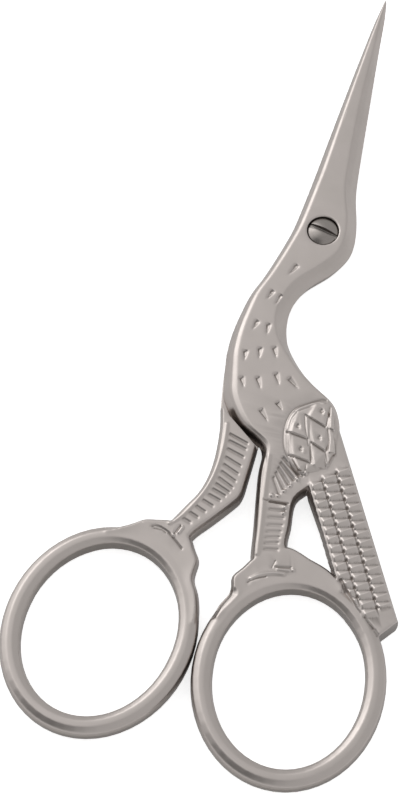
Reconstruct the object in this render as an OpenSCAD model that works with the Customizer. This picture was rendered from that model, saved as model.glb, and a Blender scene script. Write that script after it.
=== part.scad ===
// Stork embroidery scissors: two forged halves that turn on one slotted screw.
// The screw stands on the origin, its axis along Z. The beak points along +Y, and the
// scissors lie on their back on z = 0, closed.

/* [Blades] */
// Length of the beak, from the screw to the point
blade_len = 38.2; // [30:0.2:50]
// Width of a blade at its heel
heel_w = 5.65; // [4.5:0.1:7]
// Width left at the point
tip_w = 0.3; // [0.2:0.05:0.8]
// Thickness of one blade at the point
tip_t = 0.75; // [0.5:0.05:1.2]
// Width of the slope ground beside the cutting edge
bevel_w = 1.6; // [1:0.1:2]
// Height of the upright land left along the cutting edge
edge_land = 0.15; // [0.1:0.05:0.4]
// How far the lower blade stays inside the outline of the upper one
blade_inset = 0.12; // [0.05:0.01:0.3]

/* [Head, neck and body] */
// Thickness of one half at the head, neck and body
half_t = 1.9; // [1.5:0.1:3]
// Gap between the halves where they slide on each other
slide_gap = 0.04; // [0.02:0.01:0.1]
// Width of the head across the screw
head_w = 8.5; // [7:0.1:10]
// Width of the neck at its thinnest
neck_w = 5.9; // [4.5:0.1:7]
// Distance of the thinnest part of the neck below the screw
neck_drop = 12; // [10:0.5:15]
// Distance of the neck to the left of the screw
neck_bend = 4.2; // [2:0.1:6]
// Width of the body where the tail springs from it
body_w = 14.6; // [12:0.1:17]
// Distance of that place below the screw
body_drop = 24; // [21:0.5:28]
// Distance of the fork of the legs below the screw
fork_drop = 32.4; // [31:0.1:36]
// Width of the rounded shoulder along the left side
shoulder_w = 1.2; // [0.6:0.1:2]

/* [Tail] */
// Length of the tail from under the wing to its corner
tail_len = 31.7; // [28:0.1:36]
// Width of the tail
tail_w = 6.4; // [5:0.1:8]
// Thickness of the tail
tail_t = 3.3; // [2.6:0.1:3.6]

/* [Legs] */
// Thickness of the legs and feet
leg_t = 3.2; // [2.6:0.1:3.6]
// Width of the right leg at the knee
right_leg_w = 5.3; // [4:0.1:6]
// Width of the left leg at the knee
left_leg_w = 5.2; // [4:0.1:6]
// Width of the slope along the edges of legs and feet
leg_slope = 0.55; // [0.2:0.05:0.9]
// Width of the slit between the legs at the fork
leg_slit = 0.45; // [0.3:0.05:1]

/* [Bows] */
// Width of a finger hole
hole_w = 18.85; // [15:0.1:23]
// Height of a finger hole
hole_h = 23; // [20:0.1:28]
// Width of the band round a hole
band_w = 2.7; // [2:0.05:3.5]
// Thickness of the band
bow_t = 3; // [2.4:0.1:3.6]
// Radius that rounds the section of the band
bow_round = 1.58; // [1.4:0.02:2.4]
// Distance of the middle of the bows below the screw
bow_drop = 61.6; // [58:0.2:70]
// Lean of each bow towards the other, in degrees
bow_lean = 7.6; // [0:0.2:12]
// Gap between the closed bows
bow_gap = 0.1; // [0.05:0.05:1]
// Distance of the line between the bows to the left of the screw
bow_shift = 0.74; // [0:0.02:2]
// Height of the foot above the middle of the band
foot_h = 4.6; // [3.5:0.1:5.5]
// How much thinner the inside of the band is under the foot
foot_relief = 0.3; // [0:0.05:0.6]

/* [Plumage] */
// Depth of the feather marks cut into neck and body
mark_depth = 0.35; // [0.2:0.05:0.6]
// Width of a feather mark at its top
mark_w = 0.9; // [0.5:0.1:1.2]
// Height of the wing's plate over the body
wing_h = 0.14; // [0.05:0.01:0.25]
// Height of a feather's tip over the body
feather_h = 0.32; // [0.2:0.01:0.45]
// Distance from one feather of the tail to the next
tail_pitch = 1.23; // [1:0.01:2.5]
// Height of a feather of the tail
barb_h = 0.17; // [0.1:0.01:0.3]
// Grooves across the left leg
left_grooves = 14; // [6:1:18]
// Grooves across the right leg
right_grooves = 8; // [4:1:10]
// Width of a groove
groove_w = 0.38; // [0.3:0.02:0.9]
// Depth of a groove
groove_depth = 0.18; // [0.08:0.02:0.24]

/* [Screw] */
// Diameter of the screw's head
screw_head_d = 4; // [3.4:0.1:5]
// Thickness of the screw's head at its rim
screw_head_t = 0.85; // [0.6:0.05:1]
// Rise of the head's dome
screw_dome = 0.12; // [0.05:0.01:0.3]
// Diameter of the smooth shoulder that the upper half turns on
shoulder_d = 2.8; // [2:0.1:3.2]
// Diameter of the threaded end
thread_d = 2.5; // [1.6:0.1:2.8]
// Width of the screwdriver slot
slot_w = 0.65; // [0.4:0.05:1]
// Depth of the slot
slot_depth = 0.5; // [0.3:0.05:0.7]
// Angle of the slot to the right-hand side, in degrees
slot_turn = -12; // [-90:1:90]
// Clearance round the shoulder
turn_clear = 0.04; // [0.02:0.01:0.1]
// Clearance round the head
head_clear = 0.12; // [0.05:0.01:0.2]
// Clearance under the head
seat_clear = 0.02; // [0.01:0.01:0.05]
// Clearance round the threaded end
thread_clear = 0.03; // [0.02:0.01:0.05]

/* [Hidden] */
steel = [0.66, 0.64, 0.61];
// Steps between two rungs of a lofted form
steps = 4;
// Height of the plane in which the halves slide
mid_z = half_t + slide_gap / 2;
// Height of the upper half's face, round the screw
top_z = 2 * half_t + slide_gap;
// Radius of the dome of the screw's head
dome_r = (screw_head_d ^ 2 / 4 + screw_dome ^ 2) / (2 * screw_dome);
// Offset of the beak's middle from the screw
beak_x = -0.72;
// Least space between the legs' thick parts and the other half
side_clear = 0.3;
// Middle line of the band: half its height and half its width
band_a = (hole_h + band_w) / 2;
band_b = (hole_w + band_w) / 2;
// Reach of a leaning bow from its middle to its inner side
bow_reach = norm([band_a * sin(bow_lean), band_b * cos(bow_lean)]) + band_w / 2;
// Steps round a bow
bow_steps = 56;

// Catmull-Rom point between b and c
function between(a, b, c, d, t) = 0.5 * (2 * b + (c - a) * t + (2 * a - 5 * b + 4 * c - d) * t ^ 2
    + (3 * b - a - 3 * c + d) * t ^ 3);
// Smooth list through all the rows of p
function smooth(p, n = steps) = let (last = len(p) - 1) [
    for (i = [0 : last - 1], j = [0 : n - 1])
        between(p[max(i - 1, 0)], p[i], p[i + 1], p[min(i + 2, last)], j / n),
    p[last]];
function mix(a, b, t) = a + (b - a) * t;
function unit(v) = v / norm(v);

// Point on the middle line of a bow, f degrees from its top towards the other bow,
// and out mm outside that line. side is -1 for the left bow and 1 for the right one.
function bow_mid(side) = [side * (bow_reach + bow_gap / 2) - bow_shift, -bow_drop];
function bow_point(side, f, out = 0) = let (
    up = [-side * sin(bow_lean), cos(bow_lean)],
    across = [-side * cos(bow_lean), -sin(bow_lean)],
    n = norm([band_b * cos(f), band_a * sin(f)]))
    bow_mid(side) + (band_a * cos(f) + out * band_b * cos(f) / n) * up
    + (band_b * sin(f) + out * band_a * sin(f) / n) * across;

// Point s mm down the tail and a mm across it, from the left edge
tail_start = [1.5, -26.5];
tail_turn = 60.1;
function tail_point(s, a) = tail_start + s * [cos(tail_turn), -sin(tail_turn)]
    + a * [sin(tail_turn), cos(tail_turn)];

// Skin over rings that hold the same number of points: capped at both ends, or closed to
// a loop where the last ring meets the first
module skin(rings, loop = false) {
    n = len(rings[0]);
    m = len(rings);
    polyhedron(
        points = [for (r = rings) each r],
        faces = concat(
            [for (i = [0 : m - (loop ? 1 : 2)], j = [0 : n - 1])
                let (k = (j + 1) % n, a = i * n, b = (i + 1) % m * n)
                each [[a + j, a + k, b + j], [a + k, b + k, b + j]]],
            loop ? [] : [[for (j = [n - 1 : -1 : 0]) j], [for (j = [0 : n - 1]) m * n - n + j]]),
        convexity = 8);
}

// Section of one half on its sliding plane: a row holds the left point, the right point,
// the thickness, the width of the left shoulder and of the right slope, and the land
function half_ring(row, up) = let (
    a = [row[0], row[1]],
    b = [row[2], row[3]],
    u = unit(b - a),
    t = row[4],
    land = row[7],
    p = [[a, 0], [a + u * row[5] * 0.4, t * 0.68], [a + u * row[5] * 0.66, t * 0.9],
        [a + u * row[5], t], [b - u * row[6], t], [b - u * row[6] / 2, mix(land, t, 0.55)],
        [b, land], [b, 0]])
    [for (q = p) [q[0][0], q[0][1], mid_z + up * (slide_gap / 2 + q[1])]];
module half_loft(rows, up) skin([for (r = rows) half_ring(r, up)]);

// Section of a piece as thick below the middle plane as above it: a row holds the left
// point, the right point, the widths of both slopes and the half thickness beside each
function full_ring(row) = let (
    a = [row[0], row[1]],
    b = [row[2], row[3]],
    u = unit(b - a),
    left = [[a + u * row[4] * 0.3, row[6] * 0.6], [a + u * row[4], row[6]]],
    right = [[b - u * row[5], row[7]], [b - u * row[5] * 0.3, row[7] * 0.6]],
    top = concat(left, right))
    [[a[0], a[1], mid_z], for (q = top) [q[0][0], q[0][1], mid_z + q[1]],
        [b[0], b[1], mid_z], for (i = [3 : -1 : 0]) [top[i][0][0], top[i][0][1], mid_z - top[i][1]]];
module full_loft(rows) skin([for (r = rows) full_ring(r)]);

// A rung across the scissors at height y, from its middle and its width
function rung(y, x, w, t, left, right, land) = [x - w / 2, y, x + w / 2, y, t, left, right, land];

// Beak, head and neck of a half, from the point down to the bend above the body
function bird(inset) = [
    rung(blade_len, beak_x, tip_w, tip_t, tip_w * 0.3, tip_w * 0.4, edge_land),
    rung(blade_len * 0.92, beak_x, heel_w * 0.22, mix(tip_t, half_t, 0.14), heel_w * 0.07, heel_w * 0.1,
        edge_land),
    rung(blade_len * 0.78, beak_x, heel_w * 0.39 - inset, mix(tip_t, half_t, 0.38), shoulder_w * 0.5,
        bevel_w * 0.5, edge_land),
    rung(blade_len * 0.52, beak_x * 0.8, heel_w * 0.7 - inset, mix(tip_t, half_t, 0.7),
        shoulder_w * 0.75, bevel_w * 0.9, edge_land),
    rung(blade_len * 0.26, beak_x * 0.52, heel_w - inset, mix(tip_t, half_t, 0.92), shoulder_w,
        bevel_w, edge_land),
    rung(6.5, -0.22, mix(heel_w, head_w, 0.28) - inset, half_t, shoulder_w, bevel_w, edge_land),
    rung(3, 0.12, mix(heel_w, head_w, 0.72) - inset, half_t, shoulder_w, bevel_w * 0.9, edge_land),
    rung(0, 0.2, head_w - inset, half_t, shoulder_w, bevel_w * 0.9, edge_land),
    rung(-neck_drop * 0.21, -0.18, head_w * 1.03 - inset, half_t, shoulder_w, bevel_w * 0.95, edge_land),
    rung(-neck_drop * 0.42, -neck_bend * 0.28, mix(neck_w, head_w, 0.8) - inset, half_t, shoulder_w,
        bevel_w * 1.1, edge_land),
    rung(-neck_drop * 0.67, -neck_bend * 0.68, mix(neck_w, head_w, 0.14) - inset, half_t, shoulder_w,
        bevel_w * 1.1, edge_land),
    rung(-neck_drop * 0.92, -neck_bend * 0.965, neck_w - inset, half_t, shoulder_w, bevel_w, edge_land)];

// Thickness of the upper half where it thins into the leg: f is 0 on the body, 1 on the leg
function thigh_t(f) = mix(half_t, leg_t / 2, f);
// Rows of the upper half below the neck, down to the thigh
front_body = [
    rung(mix(-neck_drop, -body_drop, 0.17), -neck_bend * 1.04, mix(neck_w, body_w, 0.05), half_t,
        shoulder_w * 1.1, bevel_w, edge_land),
    rung(mix(-neck_drop, -body_drop, 0.42), -neck_bend * 0.97, mix(neck_w, body_w, 0.19), half_t,
        shoulder_w * 1.2, bevel_w * 0.8, edge_land * 2),
    rung(mix(-neck_drop, -body_drop, 0.67), -neck_bend * 0.69, mix(neck_w, body_w, 0.45), half_t,
        shoulder_w * 1.3, bevel_w * 0.5, half_t * 0.4),
    rung(mix(-neck_drop, -body_drop, 0.84), -neck_bend * 0.37, mix(neck_w, body_w, 0.69), half_t,
        shoulder_w * 1.4, bevel_w * 0.35, half_t * 0.6),
    rung(-body_drop, 0.15, body_w, half_t, shoulder_w * 1.5, leg_slope, half_t * 0.7),
    rung(mix(-body_drop, -fork_drop, 0.25), 1.1, body_w * 1.06, half_t, shoulder_w * 1.6, leg_slope,
        half_t * 0.7),
    rung(mix(-body_drop, -fork_drop, 0.5), 2.0, body_w * 1.02, half_t, shoulder_w * 1.7, leg_slope,
        half_t * 0.7),
    rung(mix(-body_drop, -fork_drop, 0.72), 2.95, body_w * 0.92, thigh_t(0.08), shoulder_w * 1.7, leg_slope,
        half_t * 0.7),
    rung(mix(-body_drop, -fork_drop, 0.88), 4.15, body_w * 0.76, thigh_t(0.2), shoulder_w * 1.6, leg_slope,
        half_t * 0.7),
    rung(-fork_drop, 4.75, body_w * 0.64, thigh_t(0.4), shoulder_w, leg_slope, half_t * 0.6),
    rung(-fork_drop - 1.6, 4.65, body_w * 0.55, thigh_t(0.75), shoulder_w * 0.6, leg_slope, half_t * 0.6),
    rung(-fork_drop - 3.4, 4.5, body_w * 0.46, thigh_t(1.1), shoulder_w * 0.5, leg_slope, half_t * 0.5)];

// Left edge of the fork's slit: the upper half's leg lies right of it, the other left of it
slit_x = 0.2;

function row(a, b, h, left, right, h_right = undef) = [a[0], a[1], b[0], b[1], left, right, h,
    is_undef(h_right) ? h : h_right];
// Right leg, at full thickness from beside the body down to its foot
knee_y = -fork_drop - 5.8;
// Corners where the legs' edges meet the feet
right_heel = bow_point(1, 25.5, foot_h * 0.95);
right_toe = bow_point(1, 8, foot_h * 1.07);
left_heel = bow_point(-1, 22, foot_h * 0.95);
left_toe = bow_point(-1, 8.5, foot_h * 0.98);
// Half thickness of a leg's end, which sinks into the foot
leg_sink = bow_t / 2 - 0.2;
right_leg = let (h = leg_t / 2, s = leg_slope) [
    row([slit_x + side_clear, -body_drop + 2.8], [2.4, -body_drop + 2.8], h, s, s),
    row([slit_x + side_clear, -body_drop], [6.9, -body_drop], h, s, s),
    row([slit_x + side_clear, mix(-body_drop, -fork_drop, 0.5)], [9.2, mix(-body_drop, -fork_drop, 0.5)],
        h, s, s),
    row([slit_x + side_clear, -fork_drop], [9.4, -fork_drop], h, s, s),
    row([slit_x + 0.4, -fork_drop - 3], [8.3, -fork_drop - 3], h, s, s),
    row([slit_x + 0.85, knee_y], [slit_x + 0.9 + right_leg_w, knee_y], h, s, s),
    row(mix([slit_x + 0.9, knee_y], right_heel, 0.6), mix([slit_x + 0.9 + right_leg_w, knee_y], right_toe, 0.6),
        h, s, s),
    row(right_heel, right_toe, h, s, s),
    row(bow_point(1, 30, foot_h * 0.25), bow_point(1, 6, foot_h * 0.4), leg_sink, s, s)];

// Outlines of the feet over the band: degrees from the bow's top, then the height over the
// band's middle line as a part of foot_h
left_foot = [[-24, 0.22], [-18, 0.27], [-12, 0.36], [-7, 0.5], [-2.5, 0.68], [3, 0.8], [9, 0.97], [15, 1],
    [21, 0.95], [27, 0.81], [33, 0.72], [37.5, 0.5], [42, 0.36], [50, 0.35], [60, 0.31], [68, 0.26]];
right_foot = [[-26, 0.3], [-20, 0.46], [-14, 0.57], [-8, 0.66], [-2.5, 0.75], [2.5, 0.9], [8, 1.05],
    [16, 1.06], [24, 0.94], [31, 0.79], [37.5, 0.72], [41, 0.5], [45, 0.37], [53, 0.34], [61, 0.26]];
// The foot runs level into the band, so it is a little thinner on its inner side
module foot(side, outline) full_loft(smooth([for (f = outline) let (
    outer = bow_point(side, f[0], f[1] * foot_h),
    inner = bow_point(side, f[0], -band_w * 0.1),
    h = leg_t / 2,
    thin = bow_t / 2 - 0.02)
    side > 0 ? row(outer, inner, h, leg_slope, leg_slope / 2, thin)
        : row(inner, outer, thin, leg_slope / 2, leg_slope, h)],
    3));

// Bow: an oval loop with flat sides, a flat crest and round corners in section
module bow(side) skin([for (i = [0 : bow_steps - 1]) let (f = side * i * 360 / bow_steps)
    [for (g = [15 : 30 : 345]) let (
        out = bow_round * cos(g),
        z = bow_round * sin(g),
        inside = foot_relief * max(0, cos(f)) - band_w / 2,
        p = bow_point(side, f, max(inside, min(band_w / 2, out))))
        [p[0], p[1], mid_z + max(-bow_t / 2, min(bow_t / 2, z))]]], loop = true);

// Tail: a straight strip that ends on the band of the right bow
module tail() full_loft([for (s = [
        [1.2, 0.9, 0], [tail_len * 0.4, -0.1, 0], [tail_len * 0.79, 0.5, 0], [tail_len * 0.9, 1.2, 0],
        [tail_len, 2.5, 0], [tail_len + 1.5, 3, -1.5]])
    row(tail_point(s[0], s[1]), tail_point(s[0] + s[2], tail_w), tail_t / 2, leg_slope, 0.3)]);

// Rows of the left leg, each square to the leg
left_leg = let (h = leg_t / 2, s = leg_slope, x = slit_x - leg_slit) [
    row([x - left_leg_w - 1, -fork_drop + 4.25], [x, -fork_drop - 0.3], h, s, s),
    row([x - left_leg_w - 0.3, -fork_drop + 1.4], [x, -fork_drop - 1.6], h, s, s),
    row([x - left_leg_w + 0.1, -fork_drop - 2.6], [x, -fork_drop - 4.6], h, s, s),
    row([x - left_leg_w - 0.05, knee_y + 0.2], [x - 0.08, knee_y - 1.4], h, s, s),
    row([x - left_leg_w - 0.65, knee_y - 2.3], [x - 0.85, knee_y - 2.9], h, s, s),
    row(mix([x - left_leg_w - 0.65, knee_y - 2.3], left_toe, 0.5),
        mix([x - 0.85, knee_y - 2.9], left_heel, 0.5), h, s, s),
    row(left_toe, left_heel, h, s, s),
    row(bow_point(-1, 6, foot_h * 0.4), bow_point(-1, 28, foot_h * 0.25), leg_sink, s, s)];

// The same form on the upper and on the lower face
module both_faces() {
    children();
    translate([0, 0, 2 * mid_z]) mirror([0, 0, 1]) children();
}

// Point of a loft at row r, part of the way f from its left side to its right
function loft_point(rows, r, f) = let (
    i = min(floor(r), len(rows) - 2),
    v = between(rows[max(i - 1, 0)], rows[i], rows[i + 1], rows[min(i + 2, len(rows) - 1)], r - i))
    [mix(v[0], v[2], f), mix(v[1], v[3], f)];

// Feather mark: a wedge cut from the face at height z, widest at p, with a steep wall on its
// left and a floor that rises to its right
module mark(p, q, z) {
    left = mark_w / 2 * unit([q[1] - p[1], p[0] - q[0]]);
    rise = 0.05;
    top = [p + left, p - left, q];
    bed = [mix(p, q, 0.12) + left * 0.6, mix(p, q, 0.7) + left * 0.15];
    polyhedron(
        points = concat([for (c = top) [c[0], c[1], z + rise]],
            [for (i = [0, 1]) [bed[i][0], bed[i][1], z - mark_depth * (1 - i * 0.45)]]),
        faces = [[0, 1, 2], [1, 0, 3], [0, 2, 4], [0, 4, 3], [1, 3, 4], [1, 4, 2]]);
}
// Marks of the neck and body: row and place across the row, at the top and at the end
mark_list = [
    [[9.3, 0.47], [10, 0.48]], [[10.8, 0.48], [11.4, 0.42]], [[10.9, 0.71], [11.6, 0.64]],
    [[12.4, 0.43], [13, 0.33]], [[12.4, 0.65], [13.1, 0.6]], [[13.9, 0.27], [14.8, 0.22]],
    [[13.6, 0.49], [14.4, 0.42]], [[13.4, 0.72], [14.1, 0.68]], [[15.8, 0.17], [16.7, 0.19]],
    [[15.5, 0.34], [16.6, 0.34]], [[14.9, 0.59], [16, 0.52]], [[15, 0.72], [15.9, 0.72]],
    [[16.9, 0.47], [17.5, 0.51]], [[17.6, 0.31], [18.6, 0.35]]];
module marks(rows) for (m = mark_list)
    mark(loft_point(rows, m[0][0], m[0][1]), loft_point(rows, m[1][0], m[1][1]), top_z);

// Groove across the face of a leg from p to q
module groove(p, q) {
    radius = (groove_w ^ 2 / 4 + groove_depth ^ 2) / (2 * groove_depth);
    translate([p[0], p[1], mid_z + leg_t / 2 - groove_depth + radius])
        rotate([0, 90, atan2(q[1] - p[1], q[0] - p[0])])
            cylinder(h = norm(q - p), r = radius, $fn = 24);
}
// n grooves on both faces. left and right say where they start and end: the first row, the
// last row, how the rows crowd at first, and the place across the row at first and last
module grooves(rows, n, left, right) both_faces() for (i = [0 : n - 1])
    let (t = i / (n - 1), ends = [for (e = [left, right])
        loft_point(rows, mix(e[0], e[1], t * mix(e[2], 1, t)), mix(e[3], e[4], t))])
    groove(ends[0], ends[1]);

// Raised form on a face at height z: upright to just above it, then in to the ring crest
module raised(edge, crest, z) skin([for (d = [-0.4, 0.02]) [for (p = edge) [p[0], p[1], z + d]], crest]);

// Feather of the wing between its left and right corners at the root, a and b, and at the
// tip, c and d. Its left side slopes over the part soft of its width, and it rises to a step
// along its tip
soft = 0.26;
module feather(a, b, c, d) {
    n = unit([d[1] - c[1], c[0] - d[0]]);
    long = (mix(a, b, 0.5) - d) * n;
    crest = [b, mix(d, b, 0.07), mix(mix(c, d, soft), a, 0.07), mix(a, b, soft)];
    raised([b, d, c, a], [for (p = crest)
        [p[0], p[1], top_z + feather_h * (1 - 0.55 * (p - d) * n / long)]], top_z);
}

// Point of the wing: x in tenths of the body's width, y in tenths of the drop to the fork
function wing_point(p) = [p[0] * body_w / 10, -body_drop - p[1] * (fork_drop - body_drop) / 10];
wing_edge = [[4.6, 0.3], [3.9, 0.6], [2.9, 1.8], [2.2, 2.7], [1.85, 4.3], [1.8, 6.5], [2.2, 9], [2.8, 10.6],
    [3.7, 12.4], [4.4, 12.9], [5.6, 12.4], [6.4, 10.8], [6.6, 8.4], [6.1, 5.4], [5.4, 2.8]];
// Feathers of the wing: the corners at the root, then at the tip
wing_list = [
    [[3.4, 1.3], [5, 0.5], [3.05, 3.4], [5.1, 4.6]], [[2.1, 3.4], [3.4, 3], [1.9, 6.8], [3.9, 7.3]],
    [[3.1, 3.6], [5.2, 4.6], [4.2, 7.6], [5.7, 8.6]], [[2, 7], [3.9, 7.3], [2.7, 10.5], [4.7, 11]],
    [[4.2, 7.9], [5.7, 8.7], [4.8, 11.4], [6.2, 11.2]], [[3, 10.8], [4.4, 11], [3.8, 12.5], [4.5, 12.6]],
    [[5, 0.8], [5.4, 1.6], [5.4, 4.7], [6, 5]], [[5.4, 4.9], [6, 5.1], [5.9, 8.8], [6.6, 8.6]]];
module wing() {
    middle = wing_point([4.2, 6.5]);
    line = [for (p = wing_edge) wing_point(p)];
    skin([
        [for (i = [len(line) - 1 : -1 : 0]) [line[i][0], line[i][1], top_z - 0.6]],
        [for (i = [len(line) - 1 : -1 : 0])
            let (p = mix(line[i], middle, 0.11)) [p[0], p[1], top_z + wing_h]]]);
    for (f = wing_list) feather(wing_point(f[0]), wing_point(f[1]), wing_point(f[2]), wing_point(f[3]));
}

// Feather of the tail at s mm down it, w mm wide about the place a across it. It slants, it
// rises from a sloping front, broad at the left, and falls evenly to the next one
module barb(s, a, w) {
    shear = 0.2;
    z = mid_z + tail_t / 2;
    function at(e) = tail_point(s + e[0] * tail_pitch - shear * w * e[1], a + w * e[1]);
    raised([for (e = [[0, -0.5], [0, 0.5], [1.08, 0.46], [1.08, -0.46]]) at(e)],
        [for (e = [[0.45, -0.42], [0.12, 0.44], [1, 0.4], [1, -0.42]])
            [each at(e), z + barb_h * (1.5 - e[0])]], z);
}
// Rows of feathers down the tail: the middle of the row across the tail and its width, as
// parts of the tail's width, then its first and last place, as parts of the tail's length
tail_rows = [[0.2, 0.3, 0.34, 0.75], [0.5, 0.36, 0.3, 0.94], [0.81, 0.32, 0.29, 0.94]];
module tail_feathers() both_faces() for (i = [0 : 2], s = [tail_rows[i][2] * tail_len
        + i * tail_pitch / 2 : tail_pitch : tail_rows[i][3] * tail_len])
    barb(s, tail_rows[i][0] * tail_w, tail_rows[i][1] * tail_w);

front_rows = concat(bird(0), front_body);
module front_half() color(steel) difference() {
    union() {
        half_loft(smooth(front_rows), 1);
        full_loft(smooth(right_leg));
        tail();
        tail_feathers();
        wing();
        foot(1, right_foot);
        bow(1);
    }
    marks(front_rows);
    grooves(right_leg, right_grooves, [5.3, 6.9, 0.85, 0.34, 0.32], [5.28, 7.15, 0.8, 0.81, 0.75]);
    translate([0, 0, -1]) cylinder(h = 2 * half_t + 4, d = shoulder_d + 2 * turn_clear, $fn = 48);
    translate([0, 0, top_z - screw_head_t - seat_clear])
        cylinder(h = screw_head_t + 1, d = screw_head_d + 2 * head_clear, $fn = 48);
}

// Turn the rows over: the lower blade's cutting edge lies under the upper one's left side
function turned(rows) = [for (r = rows) [r[2], r[1], r[0], r[3], r[4], r[5], r[6], r[7]]];
// Rows of the lower half below the neck, which stay left of the slit
function back_row(y, left, right, land) = [left + blade_inset, y, right, y, half_t, shoulder_w, bevel_w,
    land];
back_body = [
    back_row(mix(-neck_drop, -body_drop, 0.17), -neck_bend * 1.04 - mix(neck_w, body_w, 0.05) / 2,
        mix(neck_w, body_w, 0.05) / 2 - neck_bend * 1.04, edge_land),
    back_row(mix(-neck_drop, -body_drop, 0.42), -neck_bend * 0.97 - mix(neck_w, body_w, 0.19) / 2,
        slit_x - 0.6, half_t * 0.2),
    back_row(mix(-neck_drop, -body_drop, 0.67), -neck_bend * 0.69 - mix(neck_w, body_w, 0.45) / 2,
        slit_x - 0.2, half_t * 0.4),
    back_row(-body_drop, -body_w * 0.5, slit_x - 0.15, half_t * 0.5),
    back_row(mix(-body_drop, -fork_drop, 0.45), -left_leg_w - 1.4, slit_x - 0.25, half_t * 0.6),
    back_row(mix(-body_drop, -fork_drop, 0.8), -left_leg_w - 0.7, slit_x - leg_slit, half_t * 0.6),
    back_row(-fork_drop - 1.5, -left_leg_w - 0.2, slit_x - leg_slit, half_t * 0.6)];

module back_half() color(steel) difference() {
    union() {
        half_loft(turned(smooth(concat(bird(blade_inset), back_body))), -1);
        full_loft(smooth(left_leg));
        foot(-1, left_foot);
        bow(-1);
    }
    translate([0, 0, 2 * mid_z]) mirror([0, 0, 1]) marks(front_rows);
    grooves(left_leg, left_grooves, [1, 5.7, 0.73, 0.26, 0.27], [0.65, 5.65, 1, 0.78, 0.64]);
    translate([0, 0, -1]) cylinder(h = half_t + 2, d = thread_d + 2 * thread_clear, $fn = 48);
}

// Head, shoulder and threaded end in one turned piece, with a slot across the head
module pivot_screw() color(steel) {
    difference() {
        union() {
            cylinder(h = mid_z, d = thread_d, $fn = 48);
            translate([0, 0, mid_z]) cylinder(h = top_z - screw_head_t - mid_z, d = shoulder_d, $fn = 48);
            translate([0, 0, top_z - screw_head_t]) intersection() {
                cylinder(h = screw_head_t + screw_dome, d = screw_head_d, $fn = 48);
                translate([0, 0, screw_head_t + screw_dome - dome_r]) sphere(dome_r, $fn = 96);
            }
        }
        translate([0, 0, top_z]) rotate(slot_turn)
            cube([screw_head_d + 1, slot_w, 2 * slot_depth], center = true);
    }
}

front_half();
back_half();
pivot_screw();
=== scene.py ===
import math

import bmesh
import bpy
import numpy as np
from mathutils import Matrix, Vector


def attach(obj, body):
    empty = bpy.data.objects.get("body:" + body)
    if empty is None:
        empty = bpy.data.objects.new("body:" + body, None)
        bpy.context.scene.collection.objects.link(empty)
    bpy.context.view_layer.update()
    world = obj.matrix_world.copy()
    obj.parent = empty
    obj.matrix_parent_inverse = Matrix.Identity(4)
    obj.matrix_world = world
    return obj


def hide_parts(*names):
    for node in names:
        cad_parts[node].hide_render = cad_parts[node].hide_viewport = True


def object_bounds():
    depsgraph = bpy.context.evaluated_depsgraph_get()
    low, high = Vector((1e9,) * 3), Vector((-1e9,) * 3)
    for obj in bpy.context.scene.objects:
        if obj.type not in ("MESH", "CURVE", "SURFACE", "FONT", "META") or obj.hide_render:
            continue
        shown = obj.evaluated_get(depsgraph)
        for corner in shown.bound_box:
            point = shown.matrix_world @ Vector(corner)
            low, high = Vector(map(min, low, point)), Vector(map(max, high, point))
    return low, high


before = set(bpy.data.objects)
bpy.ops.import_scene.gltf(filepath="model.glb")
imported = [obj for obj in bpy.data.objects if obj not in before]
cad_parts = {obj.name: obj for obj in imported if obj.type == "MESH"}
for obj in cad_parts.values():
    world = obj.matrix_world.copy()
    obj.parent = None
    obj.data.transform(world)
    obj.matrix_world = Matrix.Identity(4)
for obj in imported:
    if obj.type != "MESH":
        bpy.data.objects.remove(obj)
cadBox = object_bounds()
mm = 0.001


# sRGB hex to the linear colour that a shader socket takes
def hexColour(text):
    out = []
    for i in (0, 2, 4):
        c = int(text[i:i + 2], 16) / 255
        out.append(c / 12.92 if c <= 0.04045 else ((c + 0.055) / 1.055) ** 2.4)
    return (*out, 1.0)


# One node with its settings and the links into it. A socket goes by its name, or as i0 by its number
def addNode(tree, kind, settings=None, **inputs):
    node = tree.nodes.new(kind)
    for name, value in (settings or {}).items():
        setattr(node, name, value)
    for name, value in inputs.items():
        key = int(name[1:]) if name[0] == "i" and name[1:].isdigit() else name.replace("_", " ")
        socket = node.inputs[key]
        if isinstance(value, bpy.types.NodeSocket):
            tree.links.new(value, socket)
        else:
            socket.default_value = value
    return node


def newObject(name, data):
    thing = bpy.data.objects.new(name, data)
    bpy.context.scene.collection.objects.link(thing)
    return thing


# Replaces an object's mesh by what its modifiers make of it
def bakeModifiers(thing):
    depsgraph = bpy.context.evaluated_depsgraph_get()
    mesh = bpy.data.meshes.new_from_object(thing.evaluated_get(depsgraph))
    thing.modifiers.clear()
    thing.data = mesh
    return mesh


def setInputs(modifier, values):
    for item in modifier.node_group.interface.items_tree:
        if item.in_out == "INPUT" and item.name in values:
            modifier[item.identifier] = values[item.name]


view = {
    "tilt": 25.0,          # degrees from straight above, towards the bows
    "turn": 15.5,          # degrees that the beak leans to the right in the picture
    "distance": 351.0,     # mm
    "aim": (-9.49, -27.03, 1.92),  # mm
    "lens": 122.57,        # mm
    "film": 36,            # mm, its long side
}


def placeCamera():
    turn = math.radians(view["turn"])
    tilt = math.radians(view["tilt"])
    right = Vector((math.cos(turn), math.sin(turn), 0))
    ahead = Vector((-math.sin(turn), math.cos(turn), 0))
    back = -ahead * math.sin(tilt) + Vector((0, 0, math.cos(tilt)))
    up = back.cross(right)
    data = bpy.data.cameras.new("photoCamera")
    data.lens = view["lens"]
    data.sensor_width = view["film"]
    data.clip_start = 0.01
    camera = newObject("photoCamera", data)
    place = (Vector(view["aim"]) + back * view["distance"]) * mm
    camera.matrix_world = Matrix.Translation(place) @ Matrix((right, up, back)).transposed().to_4x4()
    bpy.context.scene.camera = camera


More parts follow.
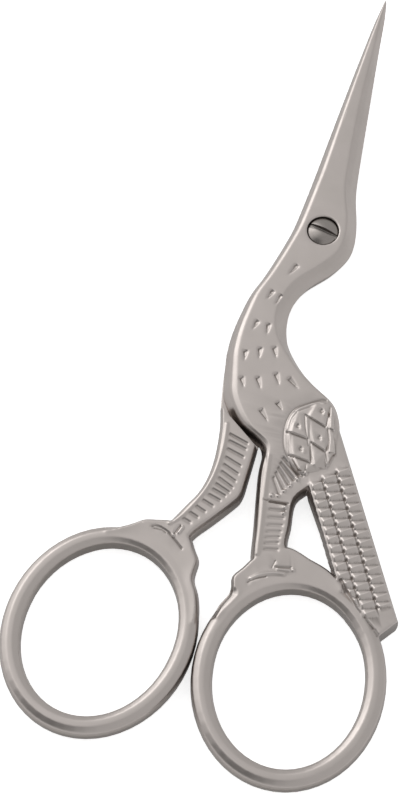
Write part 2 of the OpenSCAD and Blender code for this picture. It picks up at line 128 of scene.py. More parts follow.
studio = {
    "room": 0.68,          # light of the room all round
    "softbox": 0.69,       # what the softbox at the upper left adds
    "softboxAt": (-0.66, 0.3, 0.7),    # direction towards it
    "softboxEdge": 0.75,   # cosine of the angle at which it begins
    "flag": 0.5,           # what the dark card at the lower left takes away
    "flagAt": (-0.42, -0.5, 0.76),     # direction towards it
    "flagEdge": 0.8,
    "core": 0.98,          # cosine inside which both are full
    "keyPower": 0.45,      # W
    "keySize": 0.42,       # m
    "keyFrom": (-0.46, 0.36, 0.42),    # m
    "keyAim": (0, -0.02, 0),           # m, the point that it faces
    "paper": "f4f4f4",
    "paperReach": 3.0,     # m to each side
    "paperGlow": 0.7,      # added where the camera sees the paper, so that it comes out white
    "paperShine": 0.15,    # share of that glow that the metal reflects
}


# A broad lamp at the upper left, which draws the shadow on the paper
def placeLamp():
    data = bpy.data.lights.new("keyBox", "AREA")
    data.shape = "DISK"
    data.size = studio["keySize"]
    data.energy = studio["keyPower"]
    place = Vector(studio["keyFrom"])
    turn = (place - Vector(studio["keyAim"])).to_track_quat("Z", "Y").to_matrix().to_4x4()
    newObject("keyBox", data).matrix_world = Matrix.Translation(place) @ turn


# An even room with a soft patch of light and a soft dark one, white where the camera sees it
def buildRoom():
    world = bpy.data.worlds.new("studio")
    bpy.context.scene.world = world
    world.use_nodes = True
    tree = world.node_tree
    place = addNode(tree, "ShaderNodeTexCoord")
    level = studio["room"]
    for name, sign in (("softbox", 1), ("flag", -1)):
        side = addNode(tree, "ShaderNodeVectorMath", {"operation": "DOT_PRODUCT"},
                       i0=place.outputs["Generated"], i1=Vector(studio[name + "At"]).normalized())
        patch = addNode(tree, "ShaderNodeMapRange", {"interpolation_type": "SMOOTHSTEP"},
                        Value=side.outputs["Value"], From_Min=studio[name + "Edge"],
                        From_Max=studio["core"], To_Min=0, To_Max=sign * studio[name])
        level = addNode(tree, "ShaderNodeMath", {"operation": "ADD"}, i0=patch.outputs["Result"],
                        i1=level).outputs[0]
    path = addNode(tree, "ShaderNodeLightPath")
    shown = addNode(tree, "ShaderNodeMix", i0=path.outputs["Is Camera Ray"], i2=level, i3=1.0)
    ground = tree.nodes["Background"]
    ground.inputs["Color"].default_value = (1, 1, 1, 1)
    tree.links.new(shown.outputs[0], ground.inputs["Strength"])


# Matt white paper, which keeps the shadow
def layPaper():
    mesh = bpy.data.meshes.new("floor")
    r = studio["paperReach"]
    mesh.from_pydata([(-r, -r, 0), (r, -r, 0), (r, r, 0), (-r, r, 0)], [], [(0, 1, 2, 3)])
    paper = bpy.data.materials.new("matt white paper")
    paper.use_nodes = True
    tree = paper.node_tree
    shader = tree.nodes["Principled BSDF"]
    shader.inputs["Base Color"].default_value = hexColour(studio["paper"])
    shader.inputs["Roughness"].default_value = 0.9
    shader.inputs["Specular IOR Level"].default_value = 0.1
    path = addNode(tree, "ShaderNodeLightPath")
    seen = addNode(tree, "ShaderNodeMath", {"operation": "MULTIPLY_ADD"},
                   i0=path.outputs["Is Glossy Ray"], i1=studio["paperShine"],
                   i2=path.outputs["Is Camera Ray"])
    glow = addNode(tree, "ShaderNodeMath", {"operation": "MULTIPLY"}, i0=seen.outputs[0],
                   i1=studio["paperGlow"])
    shader.inputs["Emission Color"].default_value = (1, 1, 1, 1)
    tree.links.new(glow.outputs[0], shader.inputs["Emission Strength"])
    mesh.materials.append(paper)
    floor = newObject("floor", mesh)


nickel = {
    "plain": "c2bab6",     # blasted nickel plate
    "warm": "b8b1ac",
    "recessShadeAndGrime": "6b645f",    # painted shade and grime, the dark grey in grooves
    "side": "8f8883",      # painted shade on steep sides
    "edge": "d6d0cd",      # rubbed edges
    "hollowShade": (0.02, 0.22),    # bend at which a dip begins to take the painted shade and grime, and takes it fully
    "ridge": (-0.04, -0.28),   # bend at which an edge begins to be rubbed, and is
    "upright": (0.5, 0.1),     # lift of the normal at which a face begins to take the painted shade of a side, and takes it fully
    "roughness": 0.31,
    "roughSpread": (-0.03, 0.04),
    "rubbedPolish": -0.08,     # what rubbing takes off the roughness
    "smear": 1.2,          # mm, patches of smoother and rougher skin
    "grain": 0.16,         # mm, one grain of the blasted skin
    "grainDepth": 0.0035,  # mm
    "cloud": 4.0,          # mm, slow change of tone
}


# Soft satin sheen with a grain that is only felt, painted shade and grime in the grooves, painted shade on
# steep sides, and brighter rubbed edges
def satinNickel():
    material = bpy.data.materials.new("bead-blasted nickel plate")
    material.use_nodes = True
    tree = material.node_tree
    shader = tree.nodes["Principled BSDF"]
    given = addNode(tree, "ShaderNodeTexCoord").outputs
    place = given["Object"]
    cloud = addNode(tree, "ShaderNodeTexNoise", Vector=place, Scale=1 / (nickel["cloud"] * mm), Detail=4.0)
    tone = addNode(tree, "ShaderNodeMix", {"data_type": "RGBA"}, i0=cloud.outputs["Fac"],
                   i6=hexColour(nickel["plain"]), i7=hexColour(nickel["warm"]))
    bend = addNode(tree, "ShaderNodeAttribute", {"attribute_name": "bend"})
    # Painted shade and grime: dips drawn towards the dark grey
    hollowShade = addNode(tree, "ShaderNodeMapRange", Value=bend.outputs["Fac"], From_Min=nickel["hollowShade"][0],
                     From_Max=nickel["hollowShade"][1])
    ridge = addNode(tree, "ShaderNodeMapRange", Value=bend.outputs["Fac"], From_Min=nickel["ridge"][0],
                    From_Max=nickel["ridge"][1])
    # Painted shade: steep sides drawn darker by how far the normal leans
    lean = addNode(tree, "ShaderNodeSeparateXYZ", i0=given["Normal"])
    flat = addNode(tree, "ShaderNodeMath", {"operation": "ABSOLUTE"}, i0=lean.outputs["Z"])
    upright = addNode(tree, "ShaderNodeMapRange", Value=flat.outputs[0], From_Min=nickel["upright"][0],
                      From_Max=nickel["upright"][1])
    # Dips take painted shade and grime, edges the rubbed lighter tone, steep sides painted shade
    for share, colour in ((hollowShade, "recessShadeAndGrime"), (ridge, "edge"), (upright, "side")):
        tone = addNode(tree, "ShaderNodeMix", {"data_type": "RGBA"}, i0=share.outputs["Result"],
                       i6=tone.outputs[2], i7=hexColour(nickel[colour]))
    tree.links.new(tone.outputs[2], shader.inputs["Base Color"])
    shader.inputs["Metallic"].default_value = 1.0

    smear = addNode(tree, "ShaderNodeTexNoise", Vector=place, Scale=1 / (nickel["smear"] * mm), Detail=3.0)
    rough = addNode(tree, "ShaderNodeMapRange", Value=smear.outputs["Fac"], From_Min=0.3, From_Max=0.7,
                    To_Min=nickel["roughness"] + nickel["roughSpread"][0],
                    To_Max=nickel["roughness"] + nickel["roughSpread"][1])
    polish = addNode(tree, "ShaderNodeMath", {"operation": "MULTIPLY_ADD"}, i0=ridge.outputs["Result"],
                     i1=nickel["rubbedPolish"], i2=rough.outputs["Result"])
    tree.links.new(polish.outputs[0], shader.inputs["Roughness"])
    grain = addNode(tree, "ShaderNodeTexNoise", Vector=place, Scale=1 / (nickel["grain"] * mm), Detail=2.0)
    bump = addNode(tree, "ShaderNodeBump", Height=grain.outputs["Fac"], Strength=0.5,
                   Distance=nickel["grainDepth"] * mm)
    tree.links.new(bump.outputs["Normal"], shader.inputs["Normal"])
    return material


screwSteel = {
    "colour": "8a8480",
    "bright": "a39d99",
    "roughness": 0.27,
    "ring": 0.09,          # mm between the fine rings left by turning
    "ringDepth": 0.002,    # mm
    "voxel": 0.045,        # mm
    "smooth": 2,           # rounds that soften its edges
    "headFrom": 3.2,       # mm, height at which the head's shaping begins
    "headBlend": 0.4,      # mm, over which it sets in
    "headRadius": 2.0,     # mm
    "extraDome": 0.1,      # mm, middle above the plain head
    "rimDrop": 0.3,        # mm, rim below the plain head
}


# Bright turned steel: fine rings round the axis catch the light in two fans
def turnedSteel():
    material = bpy.data.materials.new("turned screw steel")
    material.use_nodes = True
    tree = material.node_tree
    shader = tree.nodes["Principled BSDF"]
    shader.inputs["Metallic"].default_value = 1.0
    place = addNode(tree, "ShaderNodeTexCoord").outputs["Object"]
    flat = addNode(tree, "ShaderNodeVectorMath", {"operation": "MULTIPLY"}, i0=place, i1=(1, 1, 0))
    reach = addNode(tree, "ShaderNodeVectorMath", {"operation": "LENGTH"}, i0=flat.outputs[0])
    rings = addNode(tree, "ShaderNodeTexNoise", {"noise_dimensions": "1D"}, W=reach.outputs["Value"],
                    Scale=1 / (screwSteel["ring"] * mm), Detail=2.0)
    tone = addNode(tree, "ShaderNodeMix", {"data_type": "RGBA"}, i0=rings.outputs["Fac"],
                   i6=hexColour(screwSteel["colour"]), i7=hexColour(screwSteel["bright"]))
    tree.links.new(tone.outputs[2], shader.inputs["Base Color"])
    shader.inputs["Roughness"].default_value = screwSteel["roughness"]
    bump = addNode(tree, "ShaderNodeBump", Height=rings.outputs["Fac"], Strength=0.6,
                   Distance=screwSteel["ringDepth"] * mm)
    tree.links.new(bump.outputs["Normal"], shader.inputs["Normal"])
    return material


# A geometry tree with its named inputs, and the sockets at which they come in
def openTree(name, inputs):
    tree = bpy.data.node_groups.new(name, "GeometryNodeTree")
    for title, kind in {**inputs, "Material": "Material"}.items():
        tree.interface.new_socket(title, in_out="INPUT", socket_type="NodeSocket" + kind)
    tree.interface.new_socket("Geometry", in_out="OUTPUT", socket_type="NodeSocketGeometry")
    return tree, addNode(tree, "NodeGroupInput").outputs


# Every tree ends in real geometry with its material
def closeTree(tree, shape, given):
    real = addNode(tree, "GeometryNodeRealizeInstances", Geometry=shape)
    done = addNode(tree, "GeometryNodeSetMaterial", Geometry=real.outputs[0], Material=given["Material"])
    addNode(tree, "NodeGroupOutput", i0=done.outputs[0])
    return tree


# Bars between two straight rails, evenly spaced, as edges that a groove or a ridge follows
def rungTree():
    rails = ("Rail A Start", "Rail A End", "Rail B Start", "Rail B End")
    tree, given = openTree("rungRow", {**dict.fromkeys(rails, "Vector"), "Count": "Int"})
    rail = addNode(tree, "GeometryNodeMeshLine", {"mode": "END_POINTS"}, Count=given["Count"],
                   Start_Location=given["Rail A Start"], Offset=given["Rail A End"])
    last = addNode(tree, "ShaderNodeMath", {"operation": "SUBTRACT"}, i0=given["Count"], i1=1)
    number = addNode(tree, "GeometryNodeInputIndex")
    part = addNode(tree, "ShaderNodeMath", {"operation": "DIVIDE"}, i0=number.outputs[0],
                   i1=last.outputs[0])
    across = addNode(tree, "ShaderNodeMix", {"data_type": "VECTOR"}, i0=part.outputs[0],
                     i4=given["Rail B Start"], i5=given["Rail B End"])
    bar = addNode(tree, "ShaderNodeVectorMath", {"operation": "SUBTRACT"}, i0=across.outputs[1],
                  i1=addNode(tree, "GeometryNodeInputPosition").outputs[0])
    turn = addNode(tree, "FunctionNodeAlignRotationToVector", {"axis": "X"}, Vector=bar.outputs[0])
    long = addNode(tree, "ShaderNodeVectorMath", {"operation": "LENGTH"}, i0=bar.outputs[0])
    size = addNode(tree, "ShaderNodeCombineXYZ", X=long.outputs["Value"], Y=1, Z=1)
    one = addNode(tree, "GeometryNodeMeshLine", {"mode": "END_POINTS"}, Count=2,
                  Start_Location=(0, 0, 0), Offset=(1, 0, 0))
    rungs = addNode(tree, "GeometryNodeInstanceOnPoints", Points=rail.outputs[0], Instance=one.outputs[0],
                    Rotation=turn.outputs[0], Scale=size.outputs[0])
    return closeTree(tree, rungs.outputs[0], given)


chasing = {
    "facing": (0.15, 0.5),  # lift of the normal at which a face begins to be chased, and is
    "steps": 6,            # points of a smooth stroke from one given point to the next
}


# Moves the skin of one face in or out where it lies near the edges of another object
def carveTree():
    tree, given = openTree("carve", {"Geometry": "Geometry", "Lines": "Object", "Half Width": "Float",
                                     "Depth": "Float", "Face": "Float"})
    lines = addNode(tree, "GeometryNodeObjectInfo", Object=given["Lines"])
    flat = addNode(tree, "ShaderNodeVectorMath", {"operation": "MULTIPLY"},
                   i0=addNode(tree, "GeometryNodeInputPosition").outputs[0], i1=(1, 1, 0))
    near = addNode(tree, "GeometryNodeProximity", {"target_element": "EDGES"},
                   i0=lines.outputs["Geometry"], Sample_Position=flat.outputs[0])
    amount = addNode(tree, "ShaderNodeMapRange", {"interpolation_type": "SMOOTHSTEP"},
                     Value=near.outputs["Distance"], From_Min=0, From_Max=given["Half Width"],
                     To_Min=1, To_Max=0).outputs["Result"]
    up = addNode(tree, "ShaderNodeSeparateXYZ", Vector=addNode(tree, "GeometryNodeInputNormal").outputs[0])
    facing = addNode(tree, "ShaderNodeMath", {"operation": "MULTIPLY"}, i0=up.outputs["Z"],
                     i1=given["Face"])
    mask = addNode(tree, "ShaderNodeMapRange", Value=facing.outputs[0], From_Min=chasing["facing"][0],
                   From_Max=chasing["facing"][1])
    for factor in (mask.outputs["Result"], given["Depth"], given["Face"], -1):
        amount = addNode(tree, "ShaderNodeMath", {"operation": "MULTIPLY"}, i0=amount, i1=factor).outputs[0]
    moved = addNode(tree, "GeometryNodeSetPosition", Geometry=given["Geometry"],
                    Offset=addNode(tree, "ShaderNodeCombineXYZ", Z=amount).outputs[0])
    return closeTree(tree, moved.outputs[0], given)


tail = {
    "start": (1.5, -26.5),  # mm, where the tail springs from
    "turn": 60.1,          # degrees below the right
    "level": 1.925,        # mm, its middle plane
    "thickness": 3.3,      # mm
    "bare": (0.06, 6.38, 9.4, 31.2),  # mm across and down, where the face is made plain
    "crisp": (0.2, 7, 4, 32),         # mm across and down, where no edge is worn
    "pitch": 1.258,        # mm from feather to feather
    "slant": -0.17,        # mm that its left end lies lower per mm of width, below 0 its right end
    "height": 0.25,        # mm
    "crest": (0.68, 0.18),    # where the crest lies on a feather, at its left and right end
    "fall": 0.55,          # share of the height that is left at a feather's lower end
    "ends": (0.18, 0.12),  # shares of the width over which the left and right end slope
    "face": (0.47, 0.49),  # shares of the thickness between which the face begins
    "pit": 0.05,           # mm, half length of the bar that sinks a pit at a feather's right end
    # Each row's middle and width across the tail, its first feather and the number of feathers
    "rows": [(1.32, 1.66, 10.89, 14), (3.15, 2.0, 10.35, 16), (5.12, 1.94, 9.9, 15.6)],
}


# A place in mm, down the tail and across it from its left edge
def tailAt(down, across):
    turn = math.radians(tail["turn"])
    return (tail["start"][0] + down * math.cos(turn) + across * math.sin(turn),
            tail["start"][1] - down * math.sin(turn) + across * math.cos(turn))


# How far down the tail and across it points lie, in mm
def tailPlace(co):
    turn = math.radians(tail["turn"])
    x, y = co[:, 0] / mm - tail["start"][0], co[:, 1] / mm - tail["start"][1]
    return x * math.cos(turn) - y * math.sin(turn), x * math.sin(turn) + y * math.cos(turn)


# The tail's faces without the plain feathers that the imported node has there
def bareTail(bm):
    bm.verts.ensure_lookup_table()
    left, right, high, low = tail["bare"]
    co = np.array([v.co for v in bm.verts])
    down, across = tailPlace(co)
    above = co[:, 2] / mm - tail["level"]
    rise = tail["thickness"] / 2
    inside = (across > left) & (across < right) & (down > high) & (down < low)
    for i in np.flatnonzero(inside & (np.abs(above) > rise)):
        bm.verts[i].co.z = (tail["level"] + math.copysign(rise, above[i])) * mm


# A row of overlapping feathers: each rises from the one above to a slanting crest and falls
# to the next. Lengths in metres, from the start of the tail, down it and across it
def featherTree():
    lengths = ("First", "Count", "Pitch", "Middle", "Width", "Slant", "Height", "Level", "Thickness")
    tree, given = openTree("feathers", {
        "Geometry": "Geometry", **dict.fromkeys(("Start", "Down", "Across"), "Vector"),
        **dict.fromkeys(lengths, "Float")})
    place = addNode(tree, "GeometryNodeInputPosition").outputs[0]
    away = addNode(tree, "ShaderNodeVectorMath", {"operation": "SUBTRACT"}, i0=place, i1=given["Start"])
    down = addNode(tree, "ShaderNodeVectorMath", {"operation": "DOT_PRODUCT"}, i0=away.outputs[0],
                   i1=given["Down"])
    side = addNode(tree, "ShaderNodeVectorMath", {"operation": "DOT_PRODUCT"}, i0=away.outputs[0],
                   i1=given["Across"])
    off = addNode(tree, "ShaderNodeMath", {"operation": "SUBTRACT"}, i0=side.outputs["Value"],
                  i1=given["Middle"])
    part = addNode(tree, "ShaderNodeMath", {"operation": "DIVIDE"}, i0=off.outputs[0], i1=given["Width"])
    lean = addNode(tree, "ShaderNodeMath", {"operation": "MULTIPLY_ADD"}, i0=off.outputs[0],
                   i1=given["Slant"], i2=down.outputs["Value"])
    past = addNode(tree, "ShaderNodeMath", {"operation": "SUBTRACT"}, i0=lean.outputs[0], i1=given["First"])
    step = addNode(tree, "ShaderNodeMath", {"operation": "DIVIDE"}, i0=past.outputs[0], i1=given["Pitch"])
    phase = addNode(tree, "ShaderNodeMath", {"operation": "FRACT"}, i0=step.outputs[0])
    crest = addNode(tree, "ShaderNodeMapRange", Value=part.outputs[0], From_Min=-0.5, From_Max=0.5,
                    To_Min=tail["crest"][0], To_Max=tail["crest"][1])
    rise = addNode(tree, "ShaderNodeMapRange", Value=phase.outputs[0], From_Min=0,
                   From_Max=crest.outputs["Result"])
    fall = addNode(tree, "ShaderNodeMapRange", Value=phase.outputs[0], From_Min=crest.outputs["Result"],
                   From_Max=1, To_Min=1, To_Max=tail["fall"])
    left = addNode(tree, "ShaderNodeMapRange", {"interpolation_type": "SMOOTHSTEP"}, Value=part.outputs[0],
                   From_Min=-0.5, From_Max=tail["ends"][0] - 0.5)
    right = addNode(tree, "ShaderNodeMapRange", {"interpolation_type": "SMOOTHSTEP"}, Value=part.outputs[0],
                    From_Min=0.5, From_Max=0.5 - tail["ends"][1])
    begun = addNode(tree, "ShaderNodeMath", {"operation": "GREATER_THAN"}, i0=step.outputs[0], i1=0)
    going = addNode(tree, "ShaderNodeMath", {"operation": "LESS_THAN"}, i0=step.outputs[0],
                    i1=given["Count"])
    deep = addNode(tree, "ShaderNodeSeparateXYZ", Vector=place)
    above = addNode(tree, "ShaderNodeMath", {"operation": "SUBTRACT"}, i0=deep.outputs["Z"],
                    i1=given["Level"])
    face = addNode(tree, "ShaderNodeMath", {"operation": "SIGN"}, i0=above.outputs[0])
    far = addNode(tree, "ShaderNodeMath", {"operation": "ABSOLUTE"}, i0=above.outputs[0])
    near, full = (addNode(tree, "ShaderNodeMath", {"operation": "MULTIPLY"}, i0=given["Thickness"],
                          i1=share).outputs[0] for share in tail["face"])
    skin = addNode(tree, "ShaderNodeMapRange", Value=far.outputs[0], From_Min=near, From_Max=full)
    shape = addNode(tree, "ShaderNodeMath", {"operation": "MULTIPLY"}, i0=rise.outputs["Result"],
                    i1=fall.outputs["Result"])
    height = given["Height"]
    for factor in (shape.outputs[0], left.outputs["Result"], right.outputs["Result"], begun.outputs[0],
                   going.outputs[0], skin.outputs["Result"], face.outputs[0]):
        height = addNode(tree, "ShaderNodeMath", {"operation": "MULTIPLY"}, i0=height, i1=factor).outputs[0]
    moved = addNode(tree, "GeometryNodeSetPosition", Geometry=given["Geometry"],
                    Offset=addNode(tree, "ShaderNodeCombineXYZ", Z=height).outputs[0])
    return closeTree(tree, moved.outputs[0], given)


# Chased lines in mm, as seen from above: half width, depth and the strokes. A depth below
# zero raises a ridge or a bead
frontLines = {
    "wing edge": (0.24, 0.12, [
        [(6.6, -24.05), (5.6, -24.3), (4.1, -25.3), (3.05, -26.2), (2.5, -27.5), (2.4, -29.5),
         (2.95, -31.7), (3.85, -33.1), (5.15, -34.6), (6.3, -35.05)]]),
    "wing rim": (0.26, -0.1, [
        [(6.4, -24.55), (5.5, -24.75), (4.3, -25.6), (3.4, -26.4), (2.9, -27.6), (2.8, -29.3)]]),
    "wing feathers": (0.2, 0.12, [
        [(4.45, -26.8), (7.45, -27.85)], [(2.8, -29.75), (5.65, -30.1)], [(6.15, -30.4), (8.3, -31.25)],
        [(3.95, -32.8), (6.85, -33.2)], [(4.5, -27.0), (5.0, -28.6), (5.65, -30.1), (6.0, -30.9)],
        [(6.15, -30.6), (6.6, -32.0), (6.85, -33.1)], [(7.8, -28.0), (8.4, -29.8), (8.35, -31.2)],
        [(8.35, -31.3), (9.0, -32.7)], [(7.35, -24.9), (7.5, -27.6)]]),
    "wing pits": (0.46, 0.2, [
        [(6.3, -25.7), (6.35, -25.75)], [(3.9, -28.6), (3.95, -28.65)], [(6.95, -29.45), (7.0, -29.5)],
        [(5.05, -31.6), (5.1, -31.65)]]),
    "wing dots": (0.36, -0.2, [
        [(4.6, -28.9)] * 2, [(7.6, -29.75)] * 2, [(5.7, -31.95)] * 2, [(6.95, -25.8), (6.95, -26.1)]]),
    "thigh beads": (0.36, -0.2, [
        [(6.6, -34.6), (6.65, -34.65)], [(5.8, -35.65), (5.85, -35.7)], [(5.1, -36.7), (5.15, -36.75)],
        [(4.55, -37.6), (4.6, -37.65)], [(4.0, -38.45), (4.05, -38.5)], [(3.2, -38.65), (3.25, -38.7)],
        [(5.25, -39.8), (5.3, -39.85)], [(5.3, -40.6), (5.32, -40.65)]]),
    "garter": (0.2, 0.14, [[(2.4, -39.45), (5.5, -39.25)]]),
    "leg rim": (0.5, -0.1, [
        [(1.5, -33.6), (1.95, -36.9), (2.35, -39.6), (2.8, -42.3), (3.2, -45.0), (3.5, -46.8)]]),
    "foot ridge": (0.4, -0.16, [[(3.6, -50.3), (4.5, -49.5), (6.0, -48.85), (7.4, -48.6)]]),
    "foot shoulder": (0.95, 0.4, [[(1.7, -52.7), (1.15, -53.8), (0.5, -55.0), (0.1, -55.9)]]),
    "foot": (0.22, 0.12, [
        [(3.3, -50.85), (4.3, -50.0), (5.3, -49.5)], [(6.1, -47.9), (8.0, -47.5)],
        [(5.75, -48.1), (5.9, -47.2)]]),
    "foot dot": (0.3, -0.14, [[(6.5, -48.2), (8.0, -47.95)], [(8.4, -47.75), (8.45, -47.8)]]),
}
backLines = {
    "foot": (0.24, 0.15, [
        [(-10.3, -46.75), (-9.5, -46.6), (-8.2, -47.0), (-7.2, -47.7), (-5.9, -48.7)],
        [(-6.9, -45.8), (-7.3, -46.9)], [(-10.0, -46.9), (-9.0, -46.85), (-8.4, -47.1)]]),
    "foot dot": (0.32, -0.14, [[(-7.45, -47.25), (-7.4, -47.3)], [(-6.55, -45.95), (-6.8, -46.7)]]),
    "shin ridge": (0.4, -0.1, [
        [(-4.9, -30.6), (-4.55, -33.2), (-4.5, -36.1), (-4.8, -38.8), (-5.6, -41.4), (-7.0, -44.3),
         (-8.3, -45.8)]]),
}


# The pits at the right ends of a row of feathers: how many, and the rails of short bars
def pitRow(middle, width, first, count):
    right = width / 2
    last = first + (int(count) - 1) * tail["pitch"]
    return int(count), *(tailAt(down - tail["slant"] * right + part, middle + right)
                         for part in (-tail["pit"], tail["pit"]) for down in (first, last))


# Lines that repeat evenly: half width, depth, count, then the ends of both rails
frontRows = {
    "thigh fan": (0.37, 0.2, 5, (3.25, -33.3), (2.75, -36.2), (5.75, -35.0), (4.0, -38.2)),
    "tail pits left": (0.36, 0.14, *pitRow(*tail["rows"][0])),
    "tail pits right": (0.36, 0.16, *pitRow(*tail["rows"][1])),
}
linesBelow = ("foot", "foot dot", "garter")  # what the front half's back repeats
rowsBelow = ("tail pits left", "tail pits right")


# Points of a smooth stroke through those given
def smoothStroke(stroke):
    if len(stroke) < 3:
        return stroke
    p = [Vector(q) for q in [stroke[0], *stroke, stroke[-1]]]
    out = []
    for i in range(1, len(p) - 2):
        for t in (k / chasing["steps"] for k in range(chasing["steps"])):
            out.append(0.5 * (2 * p[i] + (p[i + 1] - p[i - 1]) * t
                              + (2 * p[i - 1] - 5 * p[i] + 4 * p[i + 1] - p[i + 2]) * t ** 2
                              + (3 * p[i] - p[i - 1] - 3 * p[i + 1] + p[i + 2]) * t ** 3))
    return [*out, p[-1]]


# Strokes as edges that lie flat, in metres
def strokeMesh(name, strokes):
    places, edges = [], []
    for stroke in map(smoothStroke, strokes):
        edges += [(len(places) + i, len(places) + i + 1) for i in range(len(stroke) - 1)]
        places += [(x * mm, y * mm, 0) for x, y in stroke]
    mesh = bpy.data.meshes.new(name)
    mesh.from_pydata(places, edges, [])
    return mesh


# A row's bars as such edges, drawn by its tree
def rowMesh(name, count, *rails):
    row = newObject(name, bpy.data.meshes.new(name))
    modifier = row.modifiers.new("row", "NODES")
    modifier.node_group = rungs
    ends = ("Rail A Start", "Rail A End", "Rail B Start", "Rail B End")
    setInputs(modifier, {"Count": count, **{end: (x * mm, y * mm, 0.0) for end, (x, y) in zip(ends, rails)}})
    mesh = bakeModifiers(row)
    bpy.data.objects.remove(row)
    return mesh


# One step of carving: its name, its tree and what goes into it. Face is 1 above and -1 below
def carving(title, lines, wide, deep, face):
    return title, carver, {"Lines": lines, "Half Width": wide * mm, "Depth": deep * mm, "Face": float(face)}


# What the front half carries: its feathers, then lines and rows above and below
def frontCarvings():
    turn = math.radians(tail["turn"])
    shared = {
        "Start": (tail["start"][0] * mm, tail["start"][1] * mm, 0.0),
        "Down": (math.cos(turn), -math.sin(turn), 0.0), "Across": (math.sin(turn), math.cos(turn), 0.0),
        "Pitch": tail["pitch"] * mm, "Slant": tail["slant"], "Height": tail["height"] * mm,
        "Level": tail["level"] * mm, "Thickness": tail["thickness"] * mm}
    steps = [("feathers" + str(i), plumage, {**shared, "First": first * mm, "Count": float(count),
                                             "Middle": middle * mm, "Width": width * mm})
             for i, (middle, width, first, count) in enumerate(tail["rows"])]
    for face, side, lines, rows in ((1, "", frontLines, frontRows), (-1, " below", linesBelow, rowsBelow)):
        for title in lines:
            wide, deep, strokes = frontLines[title]
            steps.append(carving(title + side, strokeMesh(title, strokes), wide, deep, face))
        for title in rows:
            wide, deep, *row = frontRows[title]
            steps.append(carving(title + side, rowMesh(title, *row), wide, deep, face))
    return steps


def backCarvings():
    return [carving(title + str(face), strokeMesh(title, strokes), wide, deep, face)
            for title, (wide, deep, strokes) in backLines.items() for face in (1, -1)]


half = {
    "weld": 0.001,         # mm
    "voxel": 0.09,         # mm
    "quickVoxel": 0.2,
    "smooth": 3,           # rounds that soften its edges
    "worn": 12,            # rounds of rubbing where fingers and cloth wear the plate
    "quickWorn": 3,
    "rub": 0.6,            # share of the way to its neighbours' mean that a round moves a point
    "bendRounds": 2,       # rounds that spread the bend, which paints shade and grime into dips and lightens edges
    "triangles": 190000,
    "topSoft": 0.1,        # mm under the CAD box's top, where the skin begins to bend down
    # Where the edges are rubbed rounder: a box in mm from above, and how strongly
    "wornPlaces": [
        ((-30, -80, 25, -43.5), 0.8),
        ((0.2, -46, 6.6, -39.9), 1.0),
        ((-9, -47, 0.2, -31.5), 0.5),
        ((-16, -26, 8, 40), 0.25),
        ((-0.5, -57.5, 3, -51.5), 1.0),
        ((7.2, -35.6, 11.5, -30.8), 0.5),
        ((-1.4, -59.5, 2.2, -54.6), 1.5),
        ((-4.4, -60.8, -0.6, -55.8), 1.5),
        ((-18.4, -51.8, -13.4, -46.8), 1.5),
    ],
    # Metal that fills the corner of tail and bow: place, half sizes in mm and turn in degrees
    "webs": [((14.6, -48.2, 1.92), (2.0, 0.7, 1.6), -54)],
}


def pointsOf(mesh):
    co = np.empty(len(mesh.vertices) * 3)
    mesh.vertices.foreach_get("co", co)
    return co.reshape(-1, 3)


def edgeEnds(mesh):
    ends = np.empty(len(mesh.edges) * 2, dtype=np.int64)
    mesh.edges.foreach_get("vertices", ends)
    return ends.reshape(-1, 2).T


# Rubs edges rounder where the plate is worn, but for the tail's crisp feathers
def wearEdges(mesh):
    co = pointsOf(mesh)
    x, y = co[:, 0] / mm, co[:, 1] / mm
    weight = np.zeros(len(co))
    for (left, low, right, high), strength in half["wornPlaces"]:
        inside = np.minimum.reduce([x - left, right - x, y - low, high - y])
        weight = np.maximum(weight, strength * np.clip(inside, 0, 1))
    down, across = tailPlace(co)
    left, right, high, low = tail["crisp"]
    weight[(across > left) & (across < right) & (down > high) & (down < low)] = 0
    a, b = edgeEnds(mesh)
    count = np.maximum(np.bincount(a, minlength=len(co)) + np.bincount(b, minlength=len(co)), 1)
    for _ in range(half["worn"]):
        mean = np.stack([(np.bincount(a, co[b, k], len(co)) + np.bincount(b, co[a, k], len(co))) / count
                         for k in range(3)], axis=1)
        co += (mean - co) * (weight * half["rub"])[:, None]
    mesh.vertices.foreach_set("co", co.ravel())
    mesh.update()


# Bends what would stand above the CAD box softly under its top
def keepLow(mesh):
    co = pointsOf(mesh)
    soft = half["topSoft"] * mm
    start = cadBox[1][2] - soft
    over = np.maximum(co[:, 2] - start, 0)
    co[:, 2] += soft * np.tanh(over / soft) - over
    mesh.vertices.foreach_set("co", co.ravel())


# How far each vertex lies below its neighbours, as a slope: hollow above 0, ridge below
def storeBend(mesh):
    n = len(mesh.vertices)
    co = pointsOf(mesh)
    normal = np.empty(n * 3)
    mesh.vertex_normals.foreach_get("vector", normal)
    normal = normal.reshape(-1, 3)
    a, b = edgeEnds(mesh)
    step = co[b] - co[a]
    size = np.maximum(np.linalg.norm(step, axis=1), 1e-9)
    rise = np.einsum("ij,ij->i", step, normal[a]) / size
    fall = -np.einsum("ij,ij->i", step, normal[b]) / size
    count = np.maximum(np.bincount(a, minlength=n) + np.bincount(b, minlength=n), 1)
    bend = (np.bincount(a, rise, n) + np.bincount(b, fall, n)) / count
    for _ in range(half["bendRounds"]):
        bend = (bend + (np.bincount(a, bend[b], n) + np.bincount(b, bend[a], n)) / count) / 2
    mesh.attributes.new("bend", "FLOAT", "POINT").data.foreach_set("value", bend.astype(np.float32))


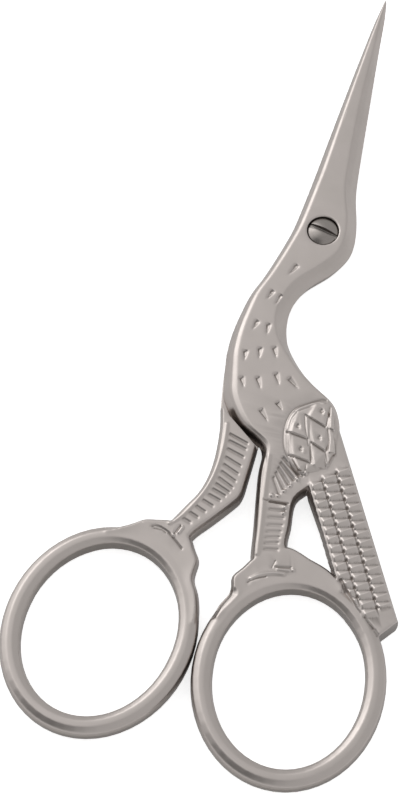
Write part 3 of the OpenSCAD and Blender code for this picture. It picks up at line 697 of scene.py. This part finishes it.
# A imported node's own skin in a new object, welded, changed and rebuilt as an even skin with soft edges
def evenSkin(node, name, voxel, rounds, change=None):
    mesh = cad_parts[node].data.copy()
    bm = bmesh.new()
    bm.from_mesh(mesh)
    bmesh.ops.remove_doubles(bm, verts=bm.verts, dist=half["weld"] * mm)
    if change:
        change(bm)
    bm.to_mesh(mesh)
    bm.free()
    mesh.materials.clear()
    piece = newObject(name, mesh)
    remesh = piece.modifiers.new("evenSkin", "REMESH")
    remesh.mode = "VOXEL"
    remesh.voxel_size = voxel * mm
    piece.modifiers.new("soften", "SMOOTH").iterations = rounds
    bakeModifiers(piece)
    return piece


def finishSkin(piece, material):
    mesh = piece.data
    mesh.polygons.foreach_set("use_smooth", [True] * len(mesh.polygons))
    mesh.materials.clear()
    mesh.materials.append(material)
    print(piece.name, len(mesh.polygons), "faces")


# The front half's own changes: a plain tail for the feathers, and the filled corner
def changeFront(bm):
    bareTail(bm)
    for place, reach, turn in half["webs"]:
        ball = bmesh.ops.create_icosphere(bm, subdivisions=3, radius=mm)["verts"]
        shape = Matrix.Rotation(math.radians(turn), 4, "Z") @ Matrix.Diagonal((*reach, 1))
        bmesh.ops.transform(bm, matrix=Matrix.Translation(Vector(place) * mm) @ shape, verts=ball)


# One half: an even skin, worn and chased
def halfSkin(node, name, material, carvings, change=None):
    voxel = half["voxel"]
    piece = evenSkin(node, name, voxel, half["smooth"], change)
    wearEdges(piece.data)
    guides = []
    for title, tree, values in carvings:
        values = {**values, "Material": material}
        if "Lines" in values:
            values["Lines"] = newObject(title, values["Lines"])
            guides.append(values["Lines"])
        carve = piece.modifiers.new(title, "NODES")
        carve.node_group = tree
        setInputs(carve, values)
    bakeModifiers(piece)
    for guide in guides:
        bpy.data.objects.remove(guide)
    ratio = half["triangles"] / (2 * len(piece.data.polygons))
    if ratio < 1:
        piece.modifiers.new("thin", "DECIMATE").ratio = ratio
        bakeModifiers(piece)
    keepLow(piece.data)
    finishSkin(piece, material)
    storeBend(piece.data)
    return piece


# The screw with softened edges and a fuller dome, which darkens towards the rim
def screwSkin(material):
    piece = evenSkin("pivot_screw", "pivotScrew", screwSteel["voxel"], screwSteel["smooth"])
    co = pointsOf(piece.data)
    reach = np.linalg.norm(co[:, :2], axis=1) / (screwSteel["headRadius"] * mm)
    fall = np.clip(reach, 0, 1) ** 2
    lift = screwSteel["extraDome"] * (1 - fall) - screwSteel["rimDrop"] * fall
    co[:, 2] += lift * np.clip((co[:, 2] / mm - screwSteel["headFrom"]) / screwSteel["headBlend"], 0, 1) * mm
    piece.data.vertices.foreach_set("co", co.ravel())
    finishSkin(piece, material)
    return piece


bpy.context.scene.view_settings.view_transform = "Standard"
placeCamera()
placeLamp()
buildRoom()
layPaper()
print("studio ready")

# The trees that rowMesh, carving and frontCarvings use
rungs, carver, plumage = rungTree(), carveTree(), featherTree()
print("trees ready")

plate = satinNickel()
for node, carvings, change in (("front_half", frontCarvings(), changeFront),
                               ("back_half", backCarvings(), None)):
    piece = halfSkin(node, node.replace("_half", "Half"), plate, carvings, change)
    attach(piece, node)
    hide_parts(node)
screw = screwSkin(turnedSteel())
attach(screw, "back_half")
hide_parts("pivot_screw")
print("pieces ready")
